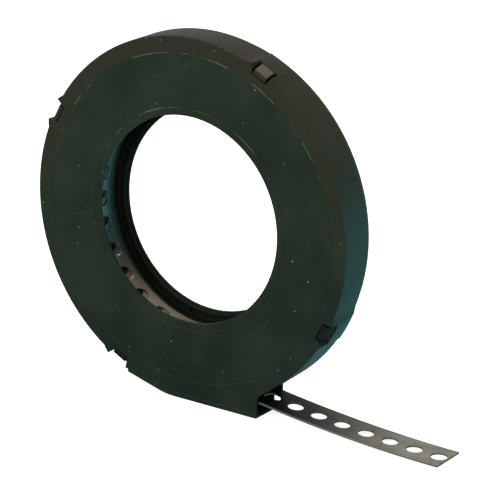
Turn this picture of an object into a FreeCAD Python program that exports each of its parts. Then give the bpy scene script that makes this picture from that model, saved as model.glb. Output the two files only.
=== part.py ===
"""Roll of perforated steel strap in a two-part plastic dispenser case that stands on its chute foot.

Frame: millimetres, +Z up, +Y along the case axis from the front face to the back, +X the way the strap
comes out. The origin is the centre of the case bore, halfway through the case.
"""
import FreeCAD, Part
import math
import os

# strap
strap_width = 17.0
strap_thickness = 0.8
hole_diameter = 6.5
hole_pitch = 11.0
hole_overcut = 0.1                # how much deeper than the strap a punched hole is cut
coil_inner_radius = 48.5
coil_outer_radius = 69.0
coil_start_angle = 3.0            # first hole of the innermost turn, degrees
exposed_holes = 7                 # whole holes outside the mouth
first_hole_reach = 12.5           # mouth to the centre of the first whole hole
end_margin = 0.8                  # last hole's edge to the cut end
exit_drop = 0.5                   # coil's underside level to the strap's level in the mouth
end_slope = 0.6                   # slope of the strap where it touches the floor, degrees

# case
coil_room = 1.8                   # coil to the inside of the rim at the back
rim_taper = 1.8                   # how much smaller the rim is at the back
taper_depth = 4.0                 # back of the case to where the rim starts to narrow
rim_wall = 1.4
front_wall = 1.1
back_wall = 1.1
wall_lap = 6.0                    # how far both walls reach past the coil's bore
edge_round = 0.5                  # front edge of the rim
strap_side_play = 0.1             # strap to each wall
cover_fit = 0.2                   # back cover to the rim that it sits in

# chute and foot
foot_drop = 1.6                   # rim's lowest point to the floor
lip_rise = 2.2                    # coil's underside up to the mouth's upper lip
lip_reach = 1.32                  # rim out to the mouth's upper lip, along the radius
chute_wall = 1.2
chute_slope = 15.0                # slope of the chute's back, degrees
chute_back_drop = 1.3             # rim out to the chute's sloping back
foot_round = 30.0
mouth_notch = 4.0                 # how far the back cover stops short of the mouth under the strap
notch_drop = 2.5                  # strap's level in the mouth to the top of that notch

# clips
clip_count = 4
first_clip_angle = 63.0
boss_height = 1.1                 # at the front
boss_back_height = 0.5            # where the rim starts to narrow
boss_top_width = 10.6
boss_ramp = 2.4
pocket_depth = 4.7
pocket_floor_rise = 1.6           # coil to the pocket's floor
pocket_inner_width = 7.4
pocket_flare = 1.3                # how much wider the pocket opens on each side
arm_rise = 0.6                    # coil to the arm
arm_thickness = 1.6
arm_side_play = 0.6               # arm to each side of its pocket
arm_play = 0.2
tip_rise = 0.4                    # pocket's floor to the hook's tip
tip_thickness = 1.9
hook_height = 1.8
tip_play = 0.1

# back cover ribs, between the bore and the coil
rib_height = 1.2
inner_rib_inset = 1.3             # bore to the middle of the inner rib
outer_rib_inset = 1.8             # middle of the outer rib to the coil
rib_width = 0.9
web_count = 12
first_web_angle = 227.0
web_width = 0.8

# derived
case_radius = coil_outer_radius + coil_room + rim_wall + rim_taper
bore_radius = coil_inner_radius - wall_lap
foot_height = case_radius + foot_drop
chute_reach = case_radius + chute_back_drop
lip_z = -(coil_outer_radius - lip_rise)
mouth_x = math.sqrt((case_radius + lip_reach) ** 2 - lip_z ** 2)
pocket_floor_radius = coil_outer_radius + pocket_floor_rise
arm_inner_radius = coil_outer_radius + arm_rise
arm_outer_radius = arm_inner_radius + arm_thickness
arm_width = pocket_inner_width - 2 * arm_side_play
inner_rib_radius = bore_radius + inner_rib_inset
outer_rib_radius = coil_inner_radius - outer_rib_inset
case_width = front_wall + back_wall + strap_width + 2 * strap_side_play
front_y = -case_width / 2
back_y = case_width / 2
shoulder_y = back_y - taper_depth
strap_front_y = front_y + front_wall + strap_side_play
cover_y = back_y - back_wall
exit_z = -(coil_outer_radius - strap_thickness / 2)
mouth_z = exit_z - exit_drop
free_length = first_hole_reach + (exposed_holes - 1) * hole_pitch + hole_diameter / 2 + end_margin
half_strap = strap_thickness / 2


def dip_angle():
    """Slope of the strap in the mouth, so that an arc of the free length ends on the floor."""
    slope_end = math.radians(end_slope)
    drop = mouth_z + foot_height - half_strap * math.cos(slope_end)
    slope = 2 * math.asin(drop / free_length) - slope_end
    for _ in range(20):
        half_turn = (slope - slope_end) / 2
        chord = free_length * math.sin(half_turn) / half_turn
        slope = 2 * math.asin(drop / chord) - slope_end
    return slope


dip = dip_angle()
bend_radius = exit_drop / (1 - math.cos(dip))
bend_start_x = mouth_x - bend_radius * math.sin(dip)
sweep_radius = free_length / (dip - math.radians(end_slope))
sweep_center_x = mouth_x + sweep_radius * math.sin(dip)
sweep_center_z = mouth_z + sweep_radius * math.cos(dip)


def point(x, z, y=0.0):
    return FreeCAD.Vector(x, y, z)


def strap_place(distance):
    """Centre line x, z and downward slope at a distance past the mouth (negative is inside)."""
    if distance >= 0:
        slope = dip - distance / sweep_radius
        return (sweep_center_x - sweep_radius * math.sin(slope),
                sweep_center_z - sweep_radius * math.cos(slope), slope)
    inside = -distance
    if inside <= bend_radius * dip:
        slope = dip - inside / bend_radius
        return (bend_start_x + bend_radius * math.sin(slope),
                exit_z - bend_radius * (1 - math.cos(slope)), slope)
    return (bend_start_x - (inside - bend_radius * dip), exit_z, 0.0)


def beside(distance, offset):
    """Point beside the centre line: offset is along the strap's upper normal."""
    x, z, slope = strap_place(distance)
    return point(x + offset * math.sin(slope), z + offset * math.cos(slope), strap_front_y)


def strap_side(offset):
    """Edges along one face of the strap, from the bend inside the chute to the free end."""
    inside = -bend_radius * dip
    bend = Part.Arc(beside(inside, offset), beside(inside / 2, offset), beside(0, offset))
    sweep = Part.Arc(beside(0, offset), beside(free_length / 2, offset), beside(free_length, offset))
    return [bend.toShape(), sweep.toShape()]


def strap_blank():
    """Coil and its outermost turn running out to the free end, before punching."""
    start = point(0, -coil_outer_radius, strap_front_y)
    upper_level = -coil_outer_radius + strap_thickness
    leave_x = math.sqrt(coil_outer_radius ** 2 - upper_level ** 2)
    leave = point(leave_x, upper_level, strap_front_y)
    opposite = point(0, coil_outer_radius, strap_front_y)
    inside = -bend_radius * dip
    edges = [Part.LineSegment(start, beside(inside, -half_strap)).toShape()]
    edges += strap_side(-half_strap)
    edges += [Part.LineSegment(beside(free_length, -half_strap), beside(free_length, half_strap)).toShape()]
    edges += strap_side(half_strap)
    edges += [Part.LineSegment(beside(inside, half_strap), leave).toShape()]
    edges += [Part.Arc(leave, opposite, start).toShape()]
    outline = Part.Wire(Part.__sortEdges__(edges))
    bore = Part.Wire(Part.makeCircle(coil_inner_radius, point(0, 0, strap_front_y), point(0, 0, 1)))
    return Part.Face([outline, bore]).extrude(point(0, 0, strap_width))


def punch(distance):
    """Cutter for one hole through the running strap, no deeper than the strap."""
    x, z, slope = strap_place(distance)
    normal = point(math.sin(slope), math.cos(slope))
    cut_depth = strap_thickness + hole_overcut
    base = point(x, z, 0.0) - normal * (cut_depth / 2)
    return Part.makeCylinder(hole_diameter / 2, cut_depth, base, normal)


def pocket_hole(angle):
    """Cutter for one hole of the innermost turn, at an angle in degrees, one thickness deep."""
    direction = point(math.cos(math.radians(angle)), math.sin(math.radians(angle)))
    start = coil_inner_radius - strap_thickness
    return Part.makeCylinder(hole_diameter / 2, 2 * strap_thickness, direction * start, direction)


def inner_hole_angles():
    """Angles of the holes of the innermost turn."""
    turn_radius = coil_inner_radius + half_strap
    count = math.floor((2 * math.pi * turn_radius - hole_diameter) / hole_pitch) + 1
    return [coil_start_angle + math.degrees(index * hole_pitch / turn_radius) for index in range(count)]


def perforated_strap():
    """Coil, its bore with the holes of the innermost turn, and the punched free end."""
    distances = [first_hole_reach + index * hole_pitch for index in range(-3, exposed_holes)]
    strap = strap_blank().cut([punch(distance) for distance in distances])
    return strap.cut([pocket_hole(angle) for angle in inner_hole_angles()])


def revolved(profile):
    """Solid of revolution about the case axis from (radius, y) points."""
    corners = [FreeCAD.Vector(radius, y, 0) for radius, y in profile]
    face = Part.Face(Part.makePolygon(corners + corners[:1]))
    return face.revolve(FreeCAD.Vector(0, 0, 0), FreeCAD.Vector(0, 1, 0), 360)


def rim_radius(y):
    """Outside of the rim at a depth: straight to the shoulder, tapered behind it."""
    return case_radius - rim_taper * max(0, y - shoulder_y) / taper_depth


def tapered_disc(extra, start_y, end_y):
    """Disc that follows the rim's outside, extra millimetres outside it."""
    side = [(rim_radius(y) + extra, y) for y in (start_y, shoulder_y, end_y)]
    return revolved([(0, start_y)] + side + [(0, end_y)])


def rounded_rim():
    """The rim's outside with its rounded front edge."""
    flat = case_radius - edge_round
    round_y = front_y + edge_round
    middle = edge_round * math.sqrt(0.5)
    corners = [FreeCAD.Vector(flat, front_y, 0), FreeCAD.Vector(flat + middle, round_y - middle, 0),
               FreeCAD.Vector(case_radius, round_y, 0)]
    rest = [corners[2], FreeCAD.Vector(case_radius, shoulder_y, 0),
            FreeCAD.Vector(rim_radius(back_y), back_y, 0), FreeCAD.Vector(0, back_y, 0),
            FreeCAD.Vector(0, front_y, 0), corners[0]]
    edges = [Part.Arc(*corners).toShape()] + Part.makePolygon(rest).Edges
    face = Part.Face(Part.Wire(edges))
    return face.revolve(FreeCAD.Vector(0, 0, 0), FreeCAD.Vector(0, 1, 0), 360)


def prism(corners, start_y, end_y):
    """Prism along the case axis from (x, z) corners."""
    outline = [point(x, z, start_y) for x, z in corners]
    face = Part.Face(Part.makePolygon(outline + outline[:1]))
    return face.extrude(point(0, 0, end_y - start_y))


def tapered_prism(corners):
    """Solid as deep as the case that narrows with the rim; corners gives (x, z) points for a rim radius."""
    outlines = []
    for y in (front_y, shoulder_y, back_y):
        outline = [point(x, z, y) for x, z in corners(rim_radius(y))]
        outlines.append(Part.makePolygon(outline + outline[:1]))
    return Part.makeLoft(outlines, True, True)


def around(solid, angle):
    """Turn a solid drawn on the +Z side to an angle in degrees from +X."""
    turned = solid.copy()
    turned.rotate(FreeCAD.Vector(0, 0, 0), FreeCAD.Vector(0, 1, 0), 90 - angle)
    return turned


def clip_angles():
    return [first_clip_angle + index * 360 / clip_count for index in range(clip_count)]


def chute_profile(inset, mouth_end, top):
    """Corners (x, z) of the chute: foot, mouth end, and the sloping back."""
    slope = math.radians(chute_slope)
    floor = -foot_height + inset
    reach = chute_reach - inset
    corner_x = (-floor * math.cos(slope) - reach) / math.sin(slope)
    back_x = -case_radius * math.cos(math.radians(first_clip_angle)) + boss_top_width / 2 + inset
    back_z = -(reach + back_x * math.sin(slope)) / math.cos(slope)
    return [(mouth_end, top), (mouth_end, floor), (corner_x, floor), (back_x, back_z), (back_x, top)]


def rounded_chute(inset, mouth_end, top, start_y, end_y):
    """Chute prism with its foot's back corner rounded."""
    solid = prism(chute_profile(inset, mouth_end, top), start_y, end_y)
    corner_x, corner_z = chute_profile(inset, mouth_end, top)[2]
    corner = [edge for edge in solid.Edges
              if all(math.hypot(vertex.X - corner_x, vertex.Z - corner_z) < 0.01 for vertex in edge.Vertexes)]
    return solid.makeFillet(foot_round - inset, corner)


def lip_corners(radius):
    """Wedge that carries a rim of this radius straight down to the mouth's upper lip."""
    touch_angle = math.atan2(lip_z, mouth_x) + math.acos(radius / math.hypot(mouth_x, lip_z))
    touch = (radius * math.cos(touch_angle), radius * math.sin(touch_angle))
    inner = case_radius - rim_taper - 2 * rim_wall
    inner_touch = (inner * math.cos(touch_angle), inner * math.sin(touch_angle))
    inner_lip = (mouth_x, -math.sqrt(inner ** 2 - mouth_x ** 2))
    return [touch, (mouth_x, lip_z), inner_lip, inner_touch]


def boss_corners(radius):
    """Bump with sloping sides that starts on a rim of this radius, drawn twice as high as the boss."""
    foot = boss_top_width / 2 + boss_ramp
    head = boss_top_width / 2 - boss_ramp
    base = case_radius - 2 * rim_taper
    foot_level = math.sqrt(radius ** 2 - foot ** 2)
    top = radius + 2 * boss_height
    return [(-foot, base), (-foot, foot_level), (-head, top), (head, top), (foot, foot_level), (foot, base)]


def boss():
    """Bump on the rim that houses one clip, highest in front and gone at the back."""
    crown = [(0, front_y), (case_radius + boss_height, front_y), (case_radius + boss_back_height, shoulder_y),
             (rim_radius(back_y), back_y), (0, back_y)]
    return tapered_prism(boss_corners).common(revolved(crown))


def pocket():
    """Window in the front of a boss where the hook shows."""
    outer = case_radius + 2 * boss_height
    half = pocket_inner_width / 2
    depth = case_radius + boss_height - pocket_floor_radius
    spread = half + pocket_flare * (outer - pocket_floor_radius) / depth
    corners = [(-half, pocket_floor_radius), (half, pocket_floor_radius), (spread, outer), (-spread, outer)]
    return prism(corners, front_y - front_wall, front_y + pocket_depth)


def channel():
    """Slot under a boss for the arm of the back cover."""
    half = arm_width / 2 + arm_play
    top = arm_outer_radius + arm_play
    return prism([(-half, coil_outer_radius), (half, coil_outer_radius), (half, top), (-half, top)],
                 front_y + front_wall, back_y + back_wall)


def bore():
    return Part.makeCylinder(bore_radius, 2 * case_width, point(0, 0, -case_width), point(0, 0, 1))


def case_front():
    """Front disc, rim and chute, moulded in one piece."""
    body = rounded_rim()
    body = body.fuse([rounded_chute(0, mouth_x, 0, front_y, back_y), tapered_prism(lip_corners)]
                     + [around(boss(), angle) for angle in clip_angles()])
    hollow = tapered_disc(-rim_wall, front_y + front_wall, back_y + back_wall)
    run = rounded_chute(chute_wall, mouth_x + chute_wall, lip_z, front_y + front_wall, back_y + back_wall)
    cutters = [hollow, run, bore()]
    for angle in clip_angles():
        cutters += [around(pocket(), angle), around(channel(), angle)]
    return body.cut(cutters).removeSplitter()


def ring(radius, start_y, end_y):
    """Rib round the bore."""
    outer = Part.makeCylinder(radius + rib_width / 2, end_y - start_y, point(0, 0, start_y), point(0, 0, 1))
    inner = Part.makeCylinder(radius - rib_width / 2, end_y - start_y, point(0, 0, start_y), point(0, 0, 1))
    return outer.cut(inner)


def web():
    """Short radial wall between the two ribs."""
    half = web_width / 2
    return prism([(-half, inner_rib_radius), (half, inner_rib_radius), (half, outer_rib_radius),
                  (-half, outer_rib_radius)], cover_y - rib_height, cover_y)


def hook_arm():
    """Arm that reaches forward from the back cover, with the hook that catches in its pocket."""
    half = arm_width / 2
    tip_y = front_y + tip_play
    heel_y = front_y + front_wall + arm_play
    catch_y = front_y + pocket_depth - arm_play
    tip_floor = pocket_floor_radius + tip_rise
    tip_top = tip_floor + tip_thickness
    profile = [(arm_inner_radius, back_y), (arm_outer_radius, back_y), (arm_outer_radius, catch_y),
               (tip_top + hook_height, catch_y), (tip_top, tip_y), (tip_floor, tip_y), (tip_floor, heel_y),
               (arm_inner_radius, catch_y)]
    corners = [FreeCAD.Vector(-half, y, radius) for radius, y in profile]
    arm = Part.Face(Part.makePolygon(corners + corners[:1])).extrude(FreeCAD.Vector(arm_width, 0, 0))
    root_radius = coil_outer_radius - rim_wall
    root = prism([(-half, root_radius), (half, root_radius), (half, arm_outer_radius),
                  (-half, arm_outer_radius)], cover_y, back_y)
    return arm.fuse(root)


def notch():
    """Gap in the back cover's foot, under the strap at the mouth."""
    start = mouth_x - mouth_notch
    top = mouth_z - notch_drop
    return prism([(start, -foot_height), (mouth_x + chute_wall, -foot_height), (mouth_x + chute_wall, top),
                  (start, top)], cover_y - rib_height, back_y + back_wall)


def case_back():
    """Back cover that sits inside the rim, with its ribs and four snap arms."""
    radius = case_radius - rim_taper - rim_wall - cover_fit
    plate = Part.makeCylinder(radius, back_wall, point(0, 0, cover_y), point(0, 0, 1))
    tongue = rounded_chute(chute_wall + cover_fit, mouth_x, lip_z - cover_fit, cover_y, back_y)
    ribs = [ring(each, cover_y - rib_height, cover_y) for each in (inner_rib_radius, outer_rib_radius)]
    webs = [around(web(), first_web_angle + index * 360 / web_count) for index in range(web_count)]
    arms = [around(hook_arm(), angle) for angle in clip_angles()]
    body = plate.fuse([tongue] + ribs + webs + arms)
    return body.cut([bore(), notch()]).removeSplitter()


def save(name, shape):
    print(name, "valid", shape.isValid(), "solids", len(shape.Solids), "volume", round(shape.Volume, 1))
    shape.exportStep("parts/" + name + ".step")


os.makedirs("parts", exist_ok=True)
save("case_front", case_front())
save("case_back", case_back())
save("perforated_strap", perforated_strap())
print("free length", round(free_length, 2), "dip", round(math.degrees(dip), 2), "bend", round(bend_radius, 1))
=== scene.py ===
import math
from functools import partial
import bmesh
import bpy
from mathutils import Matrix, Vector


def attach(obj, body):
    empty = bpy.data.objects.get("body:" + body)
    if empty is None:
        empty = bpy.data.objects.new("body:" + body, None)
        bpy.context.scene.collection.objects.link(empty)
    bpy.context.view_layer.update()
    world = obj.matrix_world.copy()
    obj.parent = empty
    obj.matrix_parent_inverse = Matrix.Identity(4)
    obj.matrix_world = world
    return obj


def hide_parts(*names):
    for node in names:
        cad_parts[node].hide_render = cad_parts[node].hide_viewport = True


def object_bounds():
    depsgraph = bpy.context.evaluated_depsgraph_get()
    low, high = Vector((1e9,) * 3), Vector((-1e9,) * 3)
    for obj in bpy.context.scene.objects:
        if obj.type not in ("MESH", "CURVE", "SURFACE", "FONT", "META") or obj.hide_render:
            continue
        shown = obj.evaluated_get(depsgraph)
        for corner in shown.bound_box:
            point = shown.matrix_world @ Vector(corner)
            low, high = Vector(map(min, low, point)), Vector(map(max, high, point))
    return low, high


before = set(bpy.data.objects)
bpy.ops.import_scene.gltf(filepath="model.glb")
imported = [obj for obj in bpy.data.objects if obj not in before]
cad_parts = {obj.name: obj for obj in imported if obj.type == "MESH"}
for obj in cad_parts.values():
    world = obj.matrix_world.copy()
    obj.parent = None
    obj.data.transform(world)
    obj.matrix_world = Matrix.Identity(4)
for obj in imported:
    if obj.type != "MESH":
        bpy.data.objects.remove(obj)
cadBox = [list(corner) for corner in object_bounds()]
scene = bpy.context.scene
mm = 0.001
frontY = cadBox[0][1]
floorZ = cadBox[0][2]
print("frame loaded")


def linear(hexColour):
    channels = [int(hexColour[start:start + 2], 16) / 255 for start in (1, 3, 5)]
    bent = [c / 12.92 if c <= 0.04045 else ((c + 0.055) / 1.055) ** 2.4 for c in channels]
    return (*bent, 1.0)


def addNode(tree, kind, settings=None, links=None):
    # A setting is a property or an unlinked input, a link is a socket or a node's first output.
    node = tree.nodes.new(kind)
    for name, value in (settings or {}).items():
        if isinstance(name, str) and hasattr(node, name):
            setattr(node, name, value)
        else:
            node.inputs[name].default_value = value
    for name, source in (links or {}).items():
        socket = source.outputs[0] if isinstance(source, bpy.types.Node) else source
        tree.links.new(socket, node.inputs[name])
    return node


def addObject(name, mesh):
    piece = bpy.data.objects.new(name, mesh)
    scene.collection.objects.link(piece)
    return piece


def evaluatedMesh(piece):
    bpy.context.view_layer.update()
    graph = bpy.context.evaluated_depsgraph_get()
    return bpy.data.meshes.new_from_object(piece.evaluated_get(graph), depsgraph=graph)


# The camera stands to the right of the mouth and a little above, with a long lens.
cameraView = {
    "azimuth": 33.735,
    "elevation": 18.661,
    "roll": 1.337,
    "distance": 1.0454,
    "aside": 19.4 * mm,
    "lift": -14.07 * mm,
    "lens": 189.83,
    "sensor": 36.0,
}


def placeCamera():
    azimuth, elevation, roll = [math.radians(cameraView[name]) for name in ("azimuth", "elevation", "roll")]
    flat = math.cos(elevation)
    back = Vector((math.sin(azimuth) * flat, -math.cos(azimuth) * flat, math.sin(elevation)))
    level = Vector((math.cos(azimuth), math.sin(azimuth), 0))
    upright = back.cross(level)
    right = level * math.cos(roll) + upright * math.sin(roll)
    up = upright * math.cos(roll) - level * math.sin(roll)
    lens = bpy.data.cameras.new("camera")
    lens.lens = cameraView["lens"]
    lens.sensor_width = cameraView["sensor"]
    camera = addObject("camera", lens)
    place = back * cameraView["distance"] + right * cameraView["aside"] + up * cameraView["lift"]
    camera.matrix_world = Matrix.Translation(place) @ Matrix((right, up, back)).transposed().to_4x4()
    scene.camera = camera


placeCamera()
print("camera placed")


# Settings that many nodes share.
times = {"operation": "MULTIPLY"}
plus = {"operation": "ADD"}
minus = {"operation": "SUBTRACT"}
positive = {"operation": "ABSOLUTE"}
below = {"operation": "LESS_THAN"}
smooth = {"interpolation_type": "SMOOTHSTEP"}
blend = {"data_type": "RGBA"}


def newMaterial(name):
    material = bpy.data.materials.new(name)
    material.use_nodes = True
    material.node_tree.nodes.clear()
    return material, material.node_tree


# The case is injection-moulded polypropylene: a satin, slightly waxy black with a green cast, faint sink
# marks where ribs run behind the wall, and the dust and hairlines of a product that has been handled.
caseFinish = {
    "lit": "#2d382e",
    "deep": "#252f26",
    "mottle": 26 * mm,
    "band": "#36342a",          # painted warm highlight on the outer band, strongest near the top
    "bandRadius": 67.3 * mm,    # the groove that sets off the outer band
    "bandEdge": 1.2 * mm,
    "bandHighlightRise": (-20 * mm, 50 * mm),
    "sink": "#43302a",
    "sinkMarks": 8,
    "sinkWidth": 1.1 * mm,
    "sinkShare": 0.4,
    "sinkBreaks": 5 * mm,
    "scratch": "#6d7269",
    "scratchTurns": (52, -31, 81),
    "scratchGap": 1.6 * mm,
    "scratchPatch": 17 * mm,
    "scratchShare": 0.22,
    "dust": "#c2c4bb",
    "dustSpacing": 6.5 * mm,
    "dustSize": 0.045,          # largest speck, as a share of the spacing
    "dustMissing": 0.55,        # share of the spacings that hold no speck
    "dustShare": 0.7,
    "grooveHighlight": "#8b8875",          # painted highlight on the edges of the two grooves
    "grooveHighlightShare": 0.5,
    "grooveHighlightWidth": 0.32 * mm,
    "grooveHighlightBreaks": 11 * mm,
    "grooveHighlightTop": 45 * mm,
    "innerLine": 45.5 * mm,     # the groove round the window
    "roughness": 0.33,
    "sheen": 0.16,              # how much the roughness wanders
    "sheenSize": 12 * mm,
    "edgeRound": 0.35 * mm,
    "waveSize": 20 * mm,
    "waveDepth": 0.25 * mm,
    "grain": 0.45 * mm,         # moulded texture, drawn a little coarser than real so that it shows
    "grainDepth": 0.02 * mm,
    "reflection": 0.16,         # less than clean plastic's 0.5, so that the rim stays dark
}


def mouldedPolypropylene(name, finish):
    material, tree = newMaterial(name)
    add = partial(addNode, tree)
    place = add("ShaderNodeTexCoord").outputs["Object"]
    axes = add("ShaderNodeSeparateXYZ", links={"Vector": place}).outputs
    flat = add("ShaderNodeCombineXYZ", links={"X": axes["X"], "Z": axes["Z"]})
    radius = add("ShaderNodeVectorMath", {"operation": "LENGTH"}, {0: flat}).outputs["Value"]

    mottle = add("ShaderNodeTexNoise", {"Scale": 1 / finish["mottle"], "Detail": 4.0}, {"Vector": place})
    mottle = add("ShaderNodeMapRange", {**smooth, "From Min": 0.35, "From Max": 0.65}, {"Value": mottle})
    colour = add("ShaderNodeMix", {**blend, 6: linear(finish["deep"]), 7: linear(finish["lit"])},
                 {0: mottle}).outputs[2]
    # Painted highlight: the outer band outside the groove turns warmer and lighter towards the top, where
    # the overhead lamp falls on it.
    start, (low, high) = finish["bandRadius"], finish["bandHighlightRise"]
    onBand = add("ShaderNodeMapRange", {
        **smooth, "From Min": start, "From Max": start + finish["bandEdge"]}, {"Value": radius})
    upper = add("ShaderNodeMapRange", {**smooth, "From Min": low, "From Max": high}, {"Value": axes["Z"]})
    share = add("ShaderNodeMath", times, {0: onBand, 1: upper})
    colour = add("ShaderNodeMix", {**blend, 7: linear(finish["band"])}, {0: share, 6: colour}).outputs[2]

    # Sink marks: faint radial streaks in the outer band, one every eighth of a turn.
    angle = add("ShaderNodeMath", {"operation": "ARCTAN2"}, {0: axes["Z"], 1: axes["X"]})
    turn = add("ShaderNodeMath", {**times, 1: finish["sinkMarks"] / math.tau}, {0: angle})
    nearest = add("ShaderNodeMath", {"operation": "ROUND"}, {0: turn})
    offset = add("ShaderNodeMath", positive, {0: add("ShaderNodeMath", minus, {0: turn, 1: nearest})})
    aside = add("ShaderNodeMath", times, {0: offset, 1: radius})
    streak = add("ShaderNodeMapRange", {**smooth, "From Min": finish["sinkWidth"], "From Max": 0.1 * mm},
                 {"Value": aside})
    streak = add("ShaderNodeMath", times, {0: streak, 1: onBand})
    breaks = add("ShaderNodeTexNoise", {"Scale": 1 / finish["sinkBreaks"], "Detail": 3.0},
                 {"Vector": place})
    breaks = add("ShaderNodeMapRange", {**smooth, "From Min": 0.42, "From Max": 0.6}, {"Value": breaks})
    streak = add("ShaderNodeMath", times, {0: streak, 1: breaks})
    share = add("ShaderNodeMath", {**times, 1: finish["sinkShare"]}, {0: streak})
    colour = add("ShaderNodeMix", {**blend, 7: linear(finish["sink"])}, {0: share, 6: colour}).outputs[2]

    # Hairlines: where a stretched noise crosses its middle value, kept only in patches.
    scratches = None
    for degrees in finish["scratchTurns"]:
        turned = add("ShaderNodeMapping", {"Rotation": (0, math.radians(degrees), 0)}, {"Vector": place})
        drawn = add("ShaderNodeMapping", {"Scale": (1, 1, 0.03)}, {"Vector": turned})
        line = add("ShaderNodeTexNoise", {"Scale": 1 / finish["scratchGap"], "Detail": 1.0},
                   {"Vector": drawn})
        line = add("ShaderNodeMath", positive, {0: add("ShaderNodeMath", {**minus, 1: 0.5}, {0: line})})
        line = add("ShaderNodeMapRange", {**smooth, "From Min": 0.012, "From Max": 0.002}, {"Value": line})
        moved = add("ShaderNodeMapping", {"Location": (degrees, 0, 0)}, {"Vector": place})
        patch = add("ShaderNodeTexNoise", {"Scale": 1 / finish["scratchPatch"], "Detail": 2.0},
                    {"Vector": moved})
        patch = add("ShaderNodeMapRange", {**smooth, "From Min": 0.63, "From Max": 0.72}, {"Value": patch})
        line = add("ShaderNodeMath", times, {0: line, 1: patch})
        if scratches:
            line = add("ShaderNodeMath", {"operation": "MAXIMUM"}, {0: scratches, 1: line})
        scratches = line
    share = add("ShaderNodeMath", {**times, 1: finish["scratchShare"]}, {0: scratches})
    colour = add("ShaderNodeMix", {**blend, 7: linear(finish["scratch"])}, {0: share, 6: colour}).outputs[2]

    # Dust lies on the front face only.
    normal = add("ShaderNodeNewGeometry").outputs["Normal"]
    facing = add("ShaderNodeSeparateXYZ", links={"Vector": normal}).outputs["Y"]
    onFront = add("ShaderNodeMath", {**below, 1: -0.7}, {0: facing})
    onFace = add("ShaderNodeCombineXYZ", links={"X": axes["X"], "Y": axes["Z"]})
    cell = add("ShaderNodeTexVoronoi", {"voronoi_dimensions": "2D", "Scale": 1 / finish["dustSpacing"]},
               {"Vector": onFace}).outputs
    chance = add("ShaderNodeSeparateXYZ", links={"Vector": cell["Color"]}).outputs
    size = add("ShaderNodeMath", {"operation": "POWER", 1: 3.0}, {0: chance["Y"]})
    size = add("ShaderNodeMath", {**times, 1: finish["dustSize"]}, {0: size})
    speck = add("ShaderNodeMath", below, {0: cell["Distance"], 1: size})
    kept = add("ShaderNodeMath", {"operation": "GREATER_THAN", 1: finish["dustMissing"]}, {0: chance["X"]})
    speck = add("ShaderNodeMath", times, {0: speck, 1: kept})
    speck = add("ShaderNodeMath", times, {0: speck, 1: onFront})
    share = add("ShaderNodeMath", {**times, 1: finish["dustShare"]}, {0: speck})
    colour = add("ShaderNodeMix", {**blend, 7: linear(finish["dust"])}, {0: share, 6: colour}).outputs[2]

    # Painted highlight: the edges of the two grooves are lit up in patches, mostly near the top, where the
    # overhead lamp catches them.
    highlightPatches = add("ShaderNodeTexNoise", {"Scale": 1 / finish["grooveHighlightBreaks"], "Detail": 3.0},
                 {"Vector": place})
    highlightPatches = add("ShaderNodeMapRange", {**smooth, "From Min": 0.46, "From Max": 0.6}, {"Value": highlightPatches})
    upper = add("ShaderNodeMapRange", {**smooth, "From Min": 0, "From Max": finish["grooveHighlightTop"]},
                {"Value": axes["Z"]})
    highlightPatches = add("ShaderNodeMath", times, {0: highlightPatches, 1: upper})
    for line in ("bandRadius", "innerLine"):
        away = add("ShaderNodeMath", {**minus, 1: finish[line]}, {0: radius})
        away = add("ShaderNodeMath", positive, {0: away})
        grooveHighlight = add("ShaderNodeMapRange", {**smooth, "From Min": finish["grooveHighlightWidth"], "From Max": 0.1 * mm},
                   {"Value": away})
        grooveHighlight = add("ShaderNodeMath", times, {0: grooveHighlight, 1: highlightPatches})
        share = add("ShaderNodeMath", {**times, 1: finish["grooveHighlightShare"]}, {0: grooveHighlight})
        colour = add("ShaderNodeMix", {**blend, 7: linear(finish["grooveHighlight"])},
                     {0: share, 6: colour}).outputs[2]

    sheen = add("ShaderNodeTexNoise", {"Scale": 1 / finish["sheenSize"], "Detail": 5.0}, {"Vector": place})
    sheen = add("ShaderNodeMath", {**times, 1: finish["sheen"]}, {0: sheen})
    roughness = add("ShaderNodeMath", {**plus, 1: finish["roughness"] - finish["sheen"] / 2}, {0: sheen})
    dusty = add("ShaderNodeMath", {**times, 1: 0.3}, {0: speck})
    roughness = add("ShaderNodeMath", {**plus, "use_clamp": True}, {0: roughness, 1: dusty})

    soft = add("ShaderNodeBevel", {"samples": 6, "Radius": finish["edgeRound"]})
    wave = add("ShaderNodeTexNoise", {"Scale": 1 / finish["waveSize"], "Detail": 1.0}, {"Vector": place})
    wave = add("ShaderNodeBump", {"Strength": 0.5, "Distance": finish["waveDepth"]},
               {"Height": wave, "Normal": soft})
    grain = add("ShaderNodeTexNoise", {"Scale": 1 / finish["grain"], "Detail": 2.0}, {"Vector": place})
    grain = add("ShaderNodeBump", {"Strength": 0.35, "Distance": finish["grainDepth"]},
                {"Height": grain, "Normal": wave})
    shader = add("ShaderNodeBsdfPrincipled", {"IOR": 1.49, "Specular IOR Level": finish["reflection"]},
                 {"Base Color": colour, "Roughness": roughness, "Normal": grain})
    add("ShaderNodeOutputMaterial", links={"Surface": shader})
    return material


# The strap is cold-rolled steel with a thin zinc coat: a dull grey metal with fine lines along the roll,
# cloudy where the zinc has weathered, and bright where the slitter and the punch have sheared it.
strapFinish = {
    "zinc": "#c2c4b8",
    "cloud": "#a7a89b",
    "cloudSize": 7 * mm,
    "stain": "#847d6b",
    "stainSize": 3 * mm,
    "stainShare": 0.5,
    "mouthShade": "#4a4e45",           # painted shade and dark reflection near the mouth, where the case overhangs the strap, fading out towards the free end
    "mouthShadeRise": (18 * mm, 32 * mm),
    "mouthShadeFall": (112 * mm, 46 * mm),
    "rollLine": 0.35 * mm,
    "roughness": 0.42,
    "sheared": "#cfcfc8",
    "shearLine": 0.25 * mm,
    "shearRoughness": 0.25,
    "scoreDepth": 0.02 * mm,
}


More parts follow.
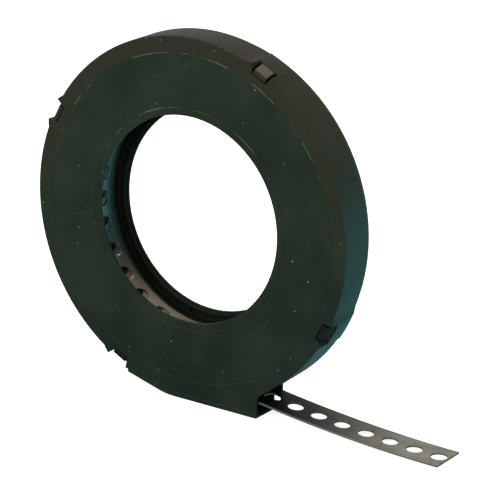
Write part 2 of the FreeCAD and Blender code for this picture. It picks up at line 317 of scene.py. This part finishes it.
def zincCoatedSteel(name, finish):
    material, tree = newMaterial(name)
    add = partial(addNode, tree)
    along = add("ShaderNodeAttribute", {"attribute_name": "flatPlace"}).outputs["Vector"]
    drawn = add("ShaderNodeMapping", {"Scale": (0.02, 1, 1)}, {"Vector": along})
    lines = add("ShaderNodeTexNoise", {"Scale": 1 / finish["rollLine"], "Detail": 2.0}, {"Vector": drawn})
    drawn = add("ShaderNodeMapping", {"Scale": (0.5, 1, 1)}, {"Vector": along})
    clouds = add("ShaderNodeTexNoise", {"Scale": 1 / finish["cloudSize"], "Detail": 5.0}, {"Vector": drawn})
    share = add("ShaderNodeMapRange", {**smooth, "From Min": 0.38, "From Max": 0.66}, {"Value": clouds})
    colour = add("ShaderNodeMix", {**blend, 6: linear(finish["zinc"]), 7: linear(finish["cloud"])},
                 {0: share}).outputs[2]
    stains = add("ShaderNodeTexNoise", {"Scale": 1 / finish["stainSize"], "Detail": 6.0}, {"Vector": along})
    stains = add("ShaderNodeMapRange", {**smooth, "From Min": 0.6, "From Max": 0.72}, {"Value": stains})
    share = add("ShaderNodeMath", {**times, 1: finish["stainShare"]}, {0: stains})
    colour = add("ShaderNodeMix", {**blend, 7: linear(finish["stain"])}, {0: share, 6: colour}).outputs[2]
    # Painted shade: the strap darkens along X from about 18 mm, most between 32 and 46 mm, fading out by
    # 112 mm, under the case's overhang.
    place = add("ShaderNodeTexCoord").outputs["Object"]
    reach = add("ShaderNodeSeparateXYZ", links={"Vector": place}).outputs["X"]
    rise, fall = [add("ShaderNodeMapRange", {**smooth, "From Min": low, "From Max": high}, {"Value": reach})
                  for low, high in (finish["mouthShadeRise"], finish["mouthShadeFall"])]
    shadeShare = add("ShaderNodeMath", times, {0: rise, 1: fall})
    colour = add("ShaderNodeMix", {**blend, 7: linear(finish["mouthShade"])}, {0: shadeShare, 6: colour}).outputs[2]
    cloudy = add("ShaderNodeMath", {**times, 1: 0.2}, {0: clouds})
    roughness = add("ShaderNodeMath", {**plus, 1: finish["roughness"] - 0.1}, {0: cloudy})
    lined = add("ShaderNodeMath", {**times, 1: 0.1}, {0: lines})
    roughness = add("ShaderNodeMath", plus, {0: roughness, 1: lined})
    bump = add("ShaderNodeBump", {"Strength": 0.3, "Distance": finish["scoreDepth"]}, {"Height": lines})
    shader = add("ShaderNodeBsdfPrincipled", {"Metallic": 1.0},
                 {"Base Color": colour, "Roughness": roughness, "Normal": bump})
    add("ShaderNodeOutputMaterial", links={"Surface": shader})
    return material


def shearedSteel(name, finish):
    material, tree = newMaterial(name)
    add = partial(addNode, tree)
    along = add("ShaderNodeAttribute", {"attribute_name": "flatPlace"}).outputs["Vector"]
    drawn = add("ShaderNodeMapping", {"Scale": (1, 1, 0.1)}, {"Vector": along})
    drag = add("ShaderNodeTexNoise", {"Scale": 1 / finish["shearLine"], "Detail": 2.0}, {"Vector": drawn})
    share = add("ShaderNodeMapRange", {**smooth, "From Min": 0.3, "From Max": 0.7}, {"Value": drag})
    colour = add("ShaderNodeMix", {**blend, 6: linear(finish["sheared"]), 7: linear(finish["zinc"])},
                 {0: share}).outputs[2]
    bump = add("ShaderNodeBump", {"Strength": 0.4, "Distance": finish["scoreDepth"]}, {"Height": drag})
    scored = add("ShaderNodeMath", {**times, 1: 0.2}, {0: drag})
    roughness = add("ShaderNodeMath", {**plus, 1: finish["shearRoughness"]}, {0: scored})
    shader = add("ShaderNodeBsdfPrincipled", {"Metallic": 1.0},
                 {"Base Color": colour, "Roughness": roughness, "Normal": bump})
    add("ShaderNodeOutputMaterial", links={"Surface": shader})
    return material


caseFront = mouldedPolypropylene("moulded polypropylene front", caseFinish)
caseBack = mouldedPolypropylene("moulded polypropylene back", {
    **caseFinish, "lit": "#252b22", "deep": "#1d231b", "grooveHighlightShare": 0.0})
zincSteel = zincCoatedSteel("zinc coated steel strap", strapFinish)
cutSteel = shearedSteel("sheared steel edge", strapFinish)
print("materials made")


# The case halves keep the construction's shape. A merged copy of each is made, and the front's copy takes
# the fine grooves.
caseDetail = {
    "rings": (caseFinish["bandRadius"], caseFinish["innerLine"]),
    "grooveWidth": 0.5 * mm,
    "grooveDepth": 0.16 * mm,
    "footLine": 1.9 * mm,       # above the floor
    "footLineEnds": (-6 * mm, 36 * mm),
    "steps": 240,
    "smoothAngle": 32.0,
    "weld": 0.001 * mm,
    "flatAngle": 0.2,
}


def mergedCopy(node):
    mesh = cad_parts[node].data.copy()
    shell = bmesh.new()
    shell.from_mesh(mesh)
    bmesh.ops.remove_doubles(shell, verts=shell.verts, dist=caseDetail["weld"])
    bmesh.ops.dissolve_limit(shell, angle_limit=math.radians(caseDetail["flatAngle"]), verts=shell.verts,
                             edges=shell.edges)
    shell.to_mesh(mesh)
    shell.free()
    for name in [layer.name for layer in mesh.attributes if layer.name == "custom_normal"]:
        mesh.attributes.remove(mesh.attributes[name])
    return mesh


def grooveCutter(path, closed, sideways):
    # A wedge that is as wide as the groove where it meets the surface, and as deep below it as above.
    width, depth = caseDetail["grooveWidth"], Vector((0, caseDetail["grooveDepth"], 0))
    cutter = bmesh.new()
    rows = []
    for point, across in zip(path, sideways):
        corners = [point - across * width - depth, point + across * width - depth, point + depth]
        rows.append([cutter.verts.new(corner) for corner in corners])
    count = len(rows)
    for index in range(count if closed else count - 1):
        first, second = rows[index], rows[(index + 1) % count]
        for side in range(3):
            other = (side + 1) % 3
            cutter.faces.new((first[side], first[other], second[other], second[side]))
    if not closed:
        cutter.faces.new(rows[0])
        cutter.faces.new(rows[-1])
    bmesh.ops.recalc_face_normals(cutter, faces=cutter.faces)
    mesh = bpy.data.meshes.new("groove")
    cutter.to_mesh(mesh)
    cutter.free()
    return mesh


def ringGroove(radius):
    turns = [math.tau * step / caseDetail["steps"] for step in range(caseDetail["steps"])]
    outward = [Vector((math.cos(turn), 0, math.sin(turn))) for turn in turns]
    path = [direction * radius + Vector((0, frontY, 0)) for direction in outward]
    return grooveCutter(path, True, outward)


def footGroove():
    start, end = caseDetail["footLineEnds"]
    height = floorZ + caseDetail["footLine"]
    path = [Vector((start, frontY, height)), Vector((end, frontY, height))]
    return grooveCutter(path, False, [Vector((0, 0, 1))] * 2)


def dressShell(node, name, material, cutters):
    piece = addObject(name + "_draft", mergedCopy(node))
    helpers = []
    for mesh in cutters:
        helper = addObject("cutter", mesh)
        helpers.append(helper)
        cut = piece.modifiers.new("groove", "BOOLEAN")
        cut.operation = "DIFFERENCE"
        cut.solver = "EXACT"
        cut.object = helper
    mesh = evaluatedMesh(piece)
    bpy.data.objects.remove(piece)
    for helper in helpers:
        bpy.data.objects.remove(helper)
    mesh.polygons.foreach_set("use_smooth", [True] * len(mesh.polygons))
    mesh.set_sharp_from_angle(angle=math.radians(caseDetail["smoothAngle"]))
    piece = addObject(name, mesh)
    even = piece.modifiers.new("even normals", "WEIGHTED_NORMAL")
    even.keep_sharp = True
    dressed = evaluatedMesh(piece)
    piece.modifiers.clear()
    piece.data = dressed
    dressed.materials.clear()
    dressed.materials.append(material)
    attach(piece, "root")
    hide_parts(node)
    print(name, len(dressed.polygons), "faces")
    return piece


grooves = [*[ringGroove(radius) for radius in caseDetail["rings"]], footGroove()]
dressShell("case_front", "moulded_front", caseFront, grooves)
dressShell("case_back", "moulded_back", caseBack, [])
print("case made")


# The strap is one long band, wound on itself from inside to outside, then run out of the mouth and down
# to the floor.
strap = {
    "width": 17 * mm,
    "thickness": 0.8 * mm,
    "holeDiameter": 6.5 * mm,
    "holePitch": 11 * mm,
    "endMargin": 0.8 * mm,       # last hole's edge to the cut end
    "edgeRound": 0.12 * mm,
    "innerRadius": 48.55 * mm,   # middle of the band at its inner end
    "outerRadius": 68.6 * mm,
    "turns": 23.799,
    "bendStart": 27.55 * mm,     # where the straight run begins to dip
    "bendRadius": 52.9 * mm,
    "dip": 7.88,                 # slope in the mouth, degrees
    "sweepRadius": 649.7 * mm,
    "endSlope": 0.6,
    "stepDegrees": 1.5,
    "straightSteps": 12,
    "bendSteps": 10,
    "sweepSteps": 90,
    "fineTurns": 1.1,            # how much of the inner end has fine tiles
    "fineEnd": 12,               # and how many holes of the outer end
    "fineSides": 32,
    "plainSides": 16,
    "smoothAngle": 30.0,
    "weld": 0.001 * mm,
}


def strapPath():
    points = []
    steps = round(strap["turns"] * 360 / strap["stepDegrees"])
    lastAngle = -math.pi / 2
    for step in range(steps + 1):
        part = step / steps
        radius = strap["innerRadius"] + (strap["outerRadius"] - strap["innerRadius"]) * part
        angle = lastAngle - (1 - part) * math.tau * strap["turns"]
        points.append((radius * math.cos(angle), radius * math.sin(angle)))
    x, z = strap["bendStart"], -strap["outerRadius"]
    points += [(x * (step + 1) / strap["straightSteps"], z) for step in range(strap["straightSteps"])]
    dip, endSlope = math.radians(strap["dip"]), math.radians(strap["endSlope"])
    for radius, start, target, count in ((strap["bendRadius"], 0, dip, strap["bendSteps"]),
                                         (strap["sweepRadius"], dip, endSlope, strap["sweepSteps"])):
        for step in range(count):
            middle = start + (target - start) * (step + 0.5) / count
            length = abs(radius * (target - start) / count)
            x += length * math.cos(middle)
            z -= length * math.sin(middle)
            points.append((x, z))
    return [Vector((x, 0, z)) for x, z in points]


def pathLength(points):
    return sum((second - first).length for first, second in zip(points, points[1:]))


def guideObject(points):
    mesh = bpy.data.meshes.new("guide")
    mesh.from_pydata(points, [(index, index + 1) for index in range(len(points) - 1)], [])
    return addObject("guide", mesh)


def punchedTile(name, sides, edgeRound, after):
    tile = bmesh.new()
    half, thick, hole = strap["width"] / 2, strap["thickness"] / 2, strap["holeDiameter"] / 2
    before = strap["holePitch"] / 2
    corners = [(after, -half), (after, half), (-before, half), (-before, -half)]
    perSide = sides // 4
    border = []
    for side in range(4):
        start, end = corners[side], corners[(side + 1) % 4]
        for step in range(perSide):
            part = step / perSide
            border.append((start[0] + (end[0] - start[0]) * part, start[1] + (end[1] - start[1]) * part))
    levels = [(edgeRound, thick), (0, thick - edgeRound), (0, edgeRound - thick), (edgeRound, -thick)]
    if edgeRound == 0:
        levels = [levels[0], levels[3]]
    turns = [math.tau * index / sides - math.pi / 4 for index in range(sides)]
    outside = [[tile.verts.new((x, max(inset - half, min(half - inset, y)), z)) for x, y in border]
               for inset, z in levels]
    inside = [[tile.verts.new(((hole + inset) * math.cos(turn), (hole + inset) * math.sin(turn), z))
               for turn in turns] for inset, z in levels]
    cutFace = tile.faces.layers.bool.new("cutFace")
    for index in range(sides):
        other = (index + 1) % sides
        tile.faces.new((outside[0][index], outside[0][other], inside[0][other], inside[0][index]))
        tile.faces.new((inside[-1][index], inside[-1][other], outside[-1][other], outside[-1][index]))
        alongEdge = abs(border[index][1]) == half and border[index][1] == border[other][1]
        for upper, lower in zip(range(len(levels) - 1), range(1, len(levels))):
            wall = tile.faces.new((inside[upper][index], inside[upper][other], inside[lower][other],
                                   inside[lower][index]))
            wall[cutFace] = True
            if alongEdge:
                wall = tile.faces.new((outside[lower][index], outside[lower][other], outside[upper][other],
                                       outside[upper][index]))
                wall[cutFace] = True
    bmesh.ops.delete(tile, geom=[corner for corner in tile.verts if not corner.link_faces], context="VERTS")
    mesh = bpy.data.meshes.new(name)
    tile.to_mesh(mesh)
    tile.free()
    return addObject(name, mesh)


def windingTree():
    tree = bpy.data.node_groups.new("wound strap", "GeometryNodeTree")
    sockets = {}
    for name, kind in (("Guide", "Geometry"), ("Tile", "Object"), ("Hole Pitch", "Float"),
                       ("First Hole", "Float"), ("Hole Count", "Int"), ("Band Finish", "Material"),
                       ("Cut Finish", "Material")):
        sockets[name] = tree.interface.new_socket(name=name, in_out="INPUT",
                                                  socket_type="NodeSocket" + kind)
    tree.interface.new_socket(name="Strap", in_out="OUTPUT", socket_type="NodeSocketGeometry")
    add = partial(addNode, tree)
    given = add("NodeGroupInput").outputs
    guide = add("GeometryNodeMeshToCurve", links={"Mesh": given["Guide"]})

    # A flat row of tiles, one to a hole, whose flat place is kept for the finishes.
    start = add("ShaderNodeCombineXYZ", links={"X": given["First Hole"]})
    spacing = add("ShaderNodeCombineXYZ", links={"X": given["Hole Pitch"]})
    holes = add("GeometryNodeMeshLine", links={
        "Count": given["Hole Count"], "Start Location": start, "Offset": spacing})
    tile = add("GeometryNodeObjectInfo", links={"Object": given["Tile"]}).outputs["Geometry"]
    row = add("GeometryNodeInstanceOnPoints", links={"Points": holes, "Instance": tile})
    flat = add("GeometryNodeRealizeInstances", links={"Geometry": row})
    flat = add("GeometryNodeMergeByDistance", {"Distance": strap["weld"]}, {"Geometry": flat})
    place = add("GeometryNodeInputPosition")
    flat = add("GeometryNodeStoreNamedAttribute", {"data_type": "FLOAT_VECTOR", "Name": "flatPlace"},
               {"Geometry": flat, "Value": place})

    # The row is bent along the guide: X is the length along it, Y across and Z off it.
    axes = add("ShaderNodeSeparateXYZ", links={"Vector": place}).outputs
    onGuide = add("GeometryNodeSampleCurve", {"mode": "LENGTH"},
                  {"Curves": guide, "Length": axes["X"]}).outputs
    normal = add("ShaderNodeVectorMath", {"operation": "CROSS_PRODUCT", 1: (0, 1, 0)},
                 {0: onGuide["Tangent"]})
    normal = add("ShaderNodeVectorMath", {"operation": "NORMALIZE"}, {0: normal})
    lift = add("ShaderNodeVectorMath", {"operation": "SCALE"}, {0: normal, "Scale": axes["Z"]})
    across = add("ShaderNodeCombineXYZ", links={"Y": axes["Y"]})
    aside = add("ShaderNodeVectorMath", {"operation": "ADD"}, {0: lift, 1: across})
    bent = add("GeometryNodeSetPosition", links={
        "Geometry": flat, "Position": onGuide["Position"], "Offset": aside})

    bent = add("GeometryNodeRealizeInstances", links={"Geometry": bent})
    cut = add("GeometryNodeInputNamedAttribute", {"data_type": "BOOLEAN", "Name": "cutFace"})
    bent = add("GeometryNodeSetMaterial", links={"Geometry": bent, "Material": given["Band Finish"]})
    bent = add("GeometryNodeSetMaterial", links={
        "Geometry": bent, "Selection": cut, "Material": given["Cut Finish"]})
    add("NodeGroupOutput", links={"Strap": bent})
    return tree, {name: socket.identifier for name, socket in sockets.items() if name != "Guide"}


def strapRun(guide, winding, tile, firstHole, holeCount):
    tree, identifiers = winding
    modifier = guide.modifiers.new("winding", "NODES")
    modifier.node_group = tree
    values = {"Tile": tile, "Hole Pitch": strap["holePitch"], "First Hole": firstHole,
              "Hole Count": holeCount, "Band Finish": zincSteel, "Cut Finish": cutSteel}
    for name, value in values.items():
        modifier[identifiers[name]] = value
    mesh = evaluatedMesh(guide)
    guide.modifiers.clear()
    return mesh


def joined(name, pieces):
    if len(pieces) > 1:
        with bpy.context.temp_override(active_object=pieces[0], selected_editable_objects=pieces):
            bpy.ops.object.join()
    pieces[0].name = name
    return pieces[0]


def closedStrap(meshes):
    piece = joined("strap_run", [addObject("strap_run", mesh) for mesh in meshes])
    run = bmesh.new()
    run.from_mesh(piece.data)
    bmesh.ops.remove_doubles(run, verts=run.verts, dist=strap["weld"])
    ends = bmesh.ops.holes_fill(run, edges=[edge for edge in run.edges if edge.is_boundary])["faces"]
    for face in ends:
        face.material_index = 1
    bmesh.ops.recalc_face_normals(run, faces=run.faces)
    run.to_mesh(piece.data)
    run.free()
    return piece


def woundStrap():
    points = strapPath()
    guide = guideObject(points)
    pitch = strap["holePitch"]
    after = strap["holeDiameter"] / 2 + strap["endMargin"]
    lastHole = pathLength(points) - after
    total = math.floor((lastHole - pitch / 2) / pitch) + 1
    firstHole = lastHole - (total - 1) * pitch
    innerCount = math.ceil(strap["fineTurns"] * math.tau * strap["innerRadius"] / pitch)
    plainCount = total - innerCount - strap["fineEnd"]
    plainTile = punchedTile("plain_tile", strap["plainSides"], 0, pitch / 2)
    fineTile = punchedTile("fine_tile", strap["fineSides"], strap["edgeRound"], pitch / 2)
    endTile = punchedTile("end_tile", strap["fineSides"], strap["edgeRound"], after)
    winding = windingTree()

    def run(tile, start, count):
        return strapRun(guide, winding, tile, firstHole + start * pitch, count)

    outerStart = innerCount + plainCount
    pieces = [closedStrap([run(fineTile, outerStart, strap["fineEnd"] - 1), run(endTile, total - 1, 1)]),
              closedStrap([run(plainTile, innerCount, plainCount)]),
              closedStrap([run(fineTile, 0, innerCount)])]
    piece = joined("perforated_band", pieces)
    piece.data.polygons.foreach_set("use_smooth", [True] * len(piece.data.polygons))
    piece.data.set_sharp_from_angle(angle=math.radians(strap["smoothAngle"]))
    for helper in (guide, plainTile, fineTile, endTile):
        bpy.data.objects.remove(helper)
    print("strap holes", total, "faces", len(piece.data.polygons))
    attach(piece, "root")
    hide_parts("perforated_strap")


woundStrap()
print("strap made")


# A pale floor and even studio light, white where they are seen. The part mirrors them darker, brighter to
# its left than to its right, and mirrors a cool pool of light on the floor behind it.
studio = {
    "skyTone": 0.5,
    "mirroredLeft": 0.34,
    "mirroredRight": 0.04,
    "mirroredTurn": (-0.4, 0.5),  # where left goes over to right, along X of the direction looked in
    "floorTone": 0.78,
    "floorGlow": 0.85,
    "floorReach": 12.0,
    "mirroredFloor": 0.22,
    "poolGlow": 0.9,
    "poolColour": "#1ea6b4",
    "poolEdge": 60 * mm,
    "lamps": [
        # name, place, width, height, watts, colour
        ("overhead", (0.05, 0.28, 1.35), 0.9, 0.14, 7.5, "#ffe6d8"),
        ("front", (-0.9, -1.9, 0.4), 1.6, 1.6, 15.0, "#eafff0"),
        ("cool", (1.1, -0.1, -0.06), 0.4, 0.4, 14.0, "#2fb0c2"),
    ],
}


def brightness(tree, direct, lighting, mirrored):
    # Three strengths for one surface: seen or seen through, as a light, and mirrored.
    add = partial(addNode, tree)
    path = add("ShaderNodeLightPath").outputs
    seen = add("ShaderNodeMath", {"operation": "MAXIMUM"},
               {0: path["Is Camera Ray"], 1: path["Is Transmission Ray"]})
    strength = add("ShaderNodeMix", {2: lighting, 3: direct}, {0: seen})
    return add("ShaderNodeMix", links={0: path["Is Glossy Ray"], 2: strength, 3: mirrored})


def buildStudio():
    world = bpy.data.worlds.new("studio")
    scene.world = world
    world.use_nodes = True
    world.node_tree.nodes.clear()
    tree = world.node_tree
    add = partial(addNode, tree)
    low, high = studio["mirroredTurn"]
    direction = add("ShaderNodeTexCoord").outputs["Generated"]
    toRight = add("ShaderNodeSeparateXYZ", links={"Vector": direction}).outputs["X"]
    mirrored = add("ShaderNodeMapRange", {
        "From Min": low, "From Max": high, "To Min": studio["mirroredLeft"],
        "To Max": studio["mirroredRight"]}, {"Value": toRight})
    light = add("ShaderNodeBackground", {"Color": (1, 1, 1, 1)}, {
        "Strength": brightness(tree, 1.0, studio["skyTone"], mirrored)})
    add("ShaderNodeOutputWorld", links={"Surface": light})

    material, tree = newMaterial("pale studio floor")
    add = partial(addNode, tree)
    tone = studio["floorTone"]
    dark = add("ShaderNodeValue")
    dark.outputs[0].default_value = tone * studio["mirroredFloor"]
    none = add("ShaderNodeValue")
    none.outputs[0].default_value = 0
    matt = add("ShaderNodeBsdfDiffuse", links={"Color": brightness(tree, tone, tone, dark)})
    glow = add("ShaderNodeEmission", links={"Strength": brightness(tree, studio["floorGlow"], 0, none)})
    place = add("ShaderNodeTexCoord").outputs["Object"]
    behind = add("ShaderNodeSeparateXYZ", links={"Vector": place}).outputs["Y"]
    pool = add("ShaderNodeMapRange", {**smooth, "From Min": 0, "From Max": studio["poolEdge"], "To Max": 1},
               {"Value": behind})
    pool = add("ShaderNodeMath", {**times, 1: studio["poolGlow"]}, {0: pool})
    cool = add("ShaderNodeEmission", {"Color": linear(studio["poolColour"])}, {
        "Strength": brightness(tree, 0, 0, pool)})
    both = add("ShaderNodeAddShader", links={0: matt, 1: glow})
    both = add("ShaderNodeAddShader", links={0: both, 1: cool})
    add("ShaderNodeOutputMaterial", links={"Surface": both})
    reach = studio["floorReach"]
    mesh = bpy.data.meshes.new("floor")
    mesh.from_pydata([(-reach, -reach, floorZ), (reach, -reach, floorZ), (reach, reach, floorZ),
                      (-reach, reach, floorZ)], [], [(0, 1, 2, 3)])
    mesh.materials.append(material)
    addObject("floor", mesh)

    for name, place, width, height, watts, colour in studio["lamps"]:
        lamp = bpy.data.lights.new(name, "AREA")
        lamp.shape = "ELLIPSE"
        lamp.size = width
        lamp.size_y = height
        lamp.energy = watts
        lamp.color = linear(colour)[:3]
        holder = addObject(name, lamp)
        aim = Vector(place).to_track_quat("Z", "Y").to_matrix().to_4x4()
        holder.matrix_world = Matrix.Translation(place) @ aim


buildStudio()
scene.view_settings.view_transform = "Standard"
print("studio built")
